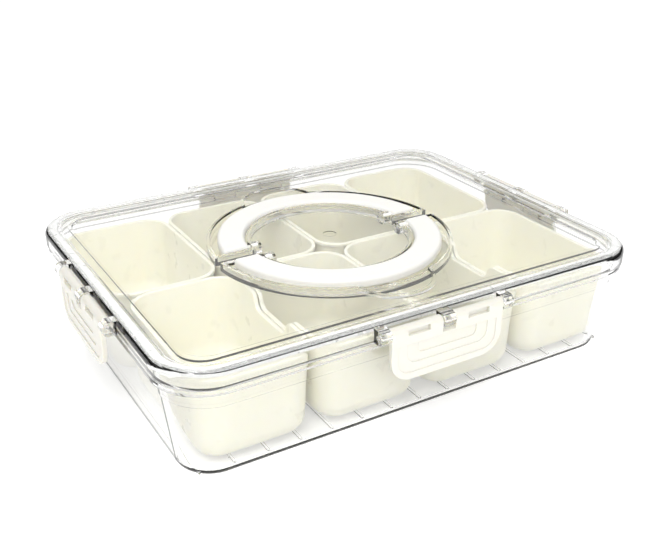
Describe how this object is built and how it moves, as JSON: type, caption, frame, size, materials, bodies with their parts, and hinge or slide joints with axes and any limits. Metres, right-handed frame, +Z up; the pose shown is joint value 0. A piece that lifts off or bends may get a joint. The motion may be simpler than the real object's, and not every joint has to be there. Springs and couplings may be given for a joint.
{
  "type": "divided serving box with lid",
  "caption": "Clear lidded serving box: a tray with lift-out cups, a latched lid on all sides and a fold-flat ring handle in two halves.",
  "frame": {"origin": "centre of the tray's underside, on the surface it stands on", "axes": "+X along the box's long side, -Y towards the front row of cups, +Z up"},
  "size_m": [0.3362, 0.2594, 0.0718],
  "materials": {
    "clear": "polished clear styrene",
    "seal": "translucent silicone",
    "cream": "glossy moulded plastic",
    "ivory": "satin moulded plastic",
    "white": "satin moulded plastic"
  },
  "bodies": {
    "base": {"base_tray": "clear"},
    "lid": {"lid": "clear", "lid_seal": "seal"},
    "cup_front_1": {"cup_front_1": "cream"},
    "cup_front_2": {"cup_front_2": "cream"},
    "cup_front_3": {"cup_front_3": "cream"},
    "cup_front_4": {"cup_front_4": "cream"},
    "cup_rear_1": {"cup_rear_1": "cream"},
    "cup_rear_2": {"cup_rear_2": "cream"},
    "cup_rear_3": {"cup_rear_3": "cream"},
    "cup_rear_4": {"cup_rear_4": "cream"},
    "latch_front": {"latch_front": "ivory"},
    "latch_right": {"latch_right": "ivory"},
    "latch_back": {"latch_back": "ivory"},
    "latch_left": {"latch_left": "ivory"},
    "handle_front": {"handle_front": "white"},
    "handle_back": {"handle_back": "white"}
  },
  "joints": [
    {"name": "lid_lift", "type": "slide", "parent": "base", "child": "lid", "axis": [0, 0, 1], "range_m": [0, 0.08]},
    {"name": "cup_front_1_lift", "type": "slide", "parent": "base", "child": "cup_front_1", "axis": [0, 0, 1], "range_m": [0, 0.064]},
    {"name": "cup_front_2_lift", "type": "slide", "parent": "base", "child": "cup_front_2", "axis": [0, 0, 1], "range_m": [0, 0.064]},
    {"name": "cup_front_3_lift", "type": "slide", "parent": "base", "child": "cup_front_3", "axis": [0, 0, 1], "range_m": [0, 0.064]},
    {"name": "cup_front_4_lift", "type": "slide", "parent": "base", "child": "cup_front_4", "axis": [0, 0, 1], "range_m": [0, 0.064]},
    {"name": "cup_rear_1_lift", "type": "slide", "parent": "base", "child": "cup_rear_1", "axis": [0, 0, 1], "range_m": [0, 0.064]},
    {"name": "cup_rear_2_lift", "type": "slide", "parent": "base", "child": "cup_rear_2", "axis": [0, 0, 1], "range_m": [0, 0.064]},
    {"name": "cup_rear_3_lift", "type": "slide", "parent": "base", "child": "cup_rear_3", "axis": [0, 0, 1], "range_m": [0, 0.064]},
    {"name": "cup_rear_4_lift", "type": "slide", "parent": "base", "child": "cup_rear_4", "axis": [0, 0, 1], "range_m": [0, 0.064]},
    {"name": "latch_front_hinge", "type": "hinge", "parent": "lid", "child": "latch_front", "pos_m": [0, -0.1255, 0.0662], "axis": [-1, 0, 0], "range_deg": [0, 160]},
    {"name": "latch_right_hinge", "type": "hinge", "parent": "lid", "child": "latch_right", "pos_m": [0.1639, 0, 0.0662], "axis": [0, -1, 0], "range_deg": [0, 160]},
    {"name": "latch_back_hinge", "type": "hinge", "parent": "lid", "child": "latch_back", "pos_m": [0, 0.1255, 0.0662], "axis": [1, 0, 0], "range_deg": [0, 160]},
    {"name": "latch_left_hinge", "type": "hinge", "parent": "lid", "child": "latch_left", "pos_m": [-0.1639, 0, 0.0662], "axis": [0, 1, 0], "range_deg": [0, 160]},
    {"name": "handle_front_hinge", "type": "hinge", "parent": "lid", "child": "handle_front", "pos_m": [0, -0.0098, 0.06835], "axis": [-1, 0, 0], "range_deg": [0, 95]},
    {"name": "handle_back_hinge", "type": "hinge", "parent": "lid", "child": "handle_back", "pos_m": [0, 0.0098, 0.06835], "axis": [1, 0, 0], "range_deg": [0, 95]}
  ],
  "couplings": [
    {"joint": "cup_front_1_lift", "follows": "lid_lift", "ratio": 0.8},
    {"joint": "cup_front_2_lift", "follows": "lid_lift", "ratio": 0.8},
    {"joint": "cup_front_3_lift", "follows": "lid_lift", "ratio": 0.8},
    {"joint": "cup_front_4_lift", "follows": "lid_lift", "ratio": 0.8},
    {"joint": "cup_rear_1_lift", "follows": "lid_lift", "ratio": 0.8},
    {"joint": "cup_rear_2_lift", "follows": "lid_lift", "ratio": 0.8},
    {"joint": "cup_rear_3_lift", "follows": "lid_lift", "ratio": 0.8},
    {"joint": "cup_rear_4_lift", "follows": "lid_lift", "ratio": 0.8},
    {"joint": "latch_front_hinge", "follows": "lid_lift", "rad_per_m": 34.9},
    {"joint": "latch_right_hinge", "follows": "lid_lift", "rad_per_m": 34.9},
    {"joint": "latch_back_hinge", "follows": "lid_lift", "rad_per_m": 34.9},
    {"joint": "latch_left_hinge", "follows": "lid_lift", "rad_per_m": 34.9}
  ]
}
